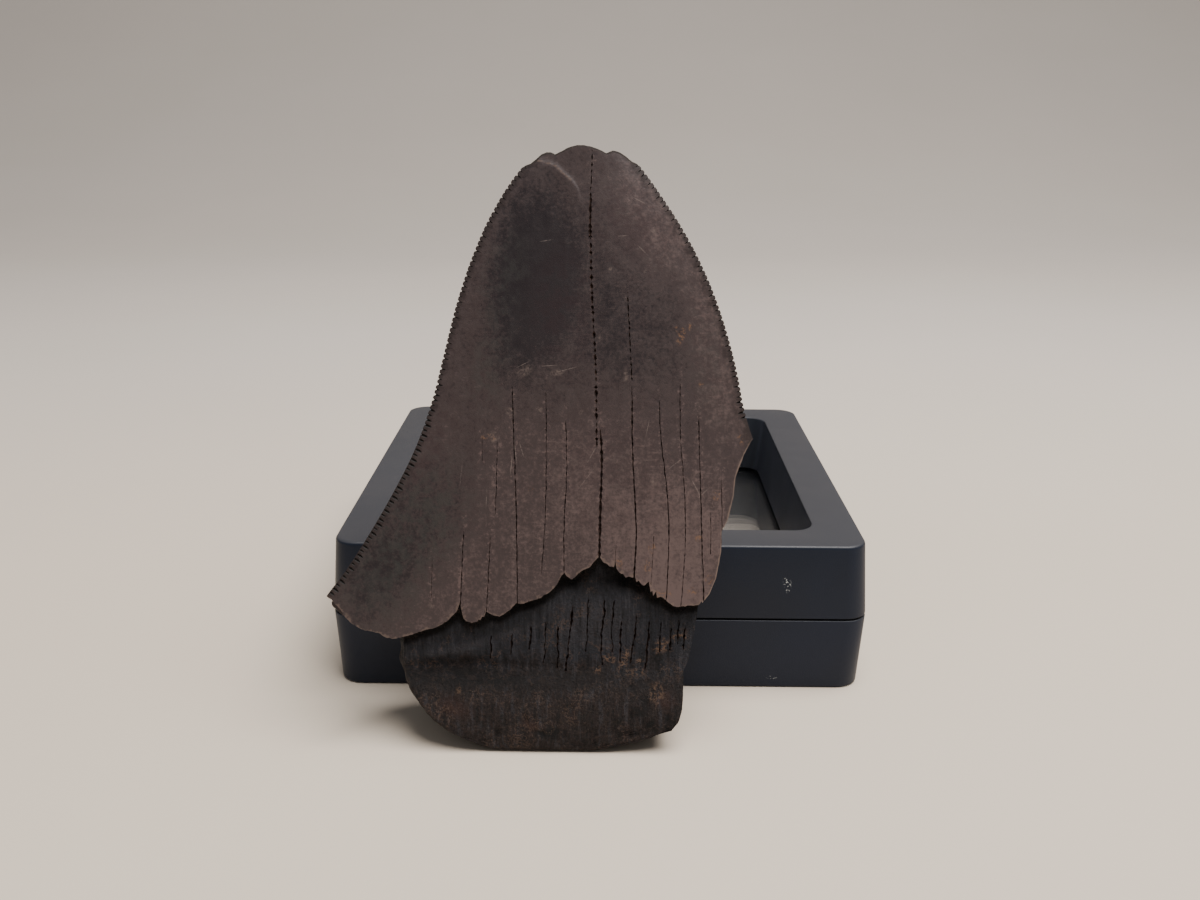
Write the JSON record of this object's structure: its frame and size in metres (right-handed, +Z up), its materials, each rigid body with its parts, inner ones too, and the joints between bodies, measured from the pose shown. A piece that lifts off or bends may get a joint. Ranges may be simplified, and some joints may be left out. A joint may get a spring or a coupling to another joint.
{
  "type": "megalodon tooth leaning on a display case",
  "caption": "Fossil shark tooth with serrated crown and broken root, leaning against a flat black display case with clear films.",
  "frame": {"origin": "under the middle of the whole, on the surface it stands on", "axes": "+Z up, +Y from the tooth's face towards the case, +X to the right as the tooth is faced"},
  "size_m": [0.07, 0.0867, 0.0699],
  "materials": {
    "fossil": "dark brown satin enamel over a matte, fibrous, nearly black root",
    "case_plastic": "fine-textured black moulded plastic",
    "clear_film": "clear stretched plastic film"
  },
  "bodies": {
    "root": {"tooth": "fossil", "case_base": "case_plastic", "case_lid": "case_plastic", "base_film": "clear_film", "lid_film": "clear_film"}
  },
  "joints": []
}
